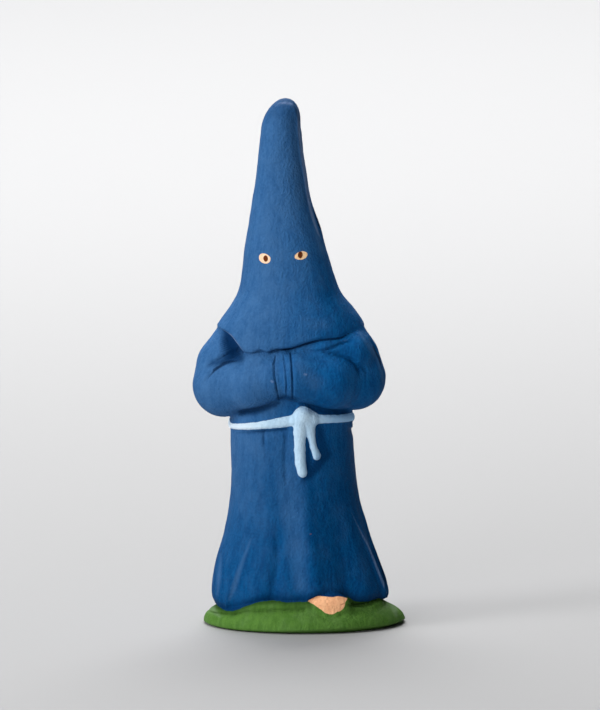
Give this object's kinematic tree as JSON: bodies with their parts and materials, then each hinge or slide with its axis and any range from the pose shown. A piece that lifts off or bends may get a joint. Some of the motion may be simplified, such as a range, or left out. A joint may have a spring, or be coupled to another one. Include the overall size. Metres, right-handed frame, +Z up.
{
  "type": "santon figure of a hooded penitent",
  "caption": "Small moulded and painted clay crib figure: a penitent in a tall pointed hood, arms folded in wide sleeves, cord tied at the waist, standing on a patch of ground.",
  "frame": {"origin": "centre of the flat underside of the ground that the figure stands on", "axes": "+Z up through the hood, -Y the way the figure faces, +X to the figure's left hand"},
  "size_m": [0.0366, 0.0316, 0.09],
  "materials": {
    "painted_clay": "matt gouache on fired clay: blue robe, pale blue cord, green ground, skin-coloured foot and eyes"
  },
  "bodies": {
    "root": {"santon_figure": "painted_clay"}
  },
  "joints": []
}
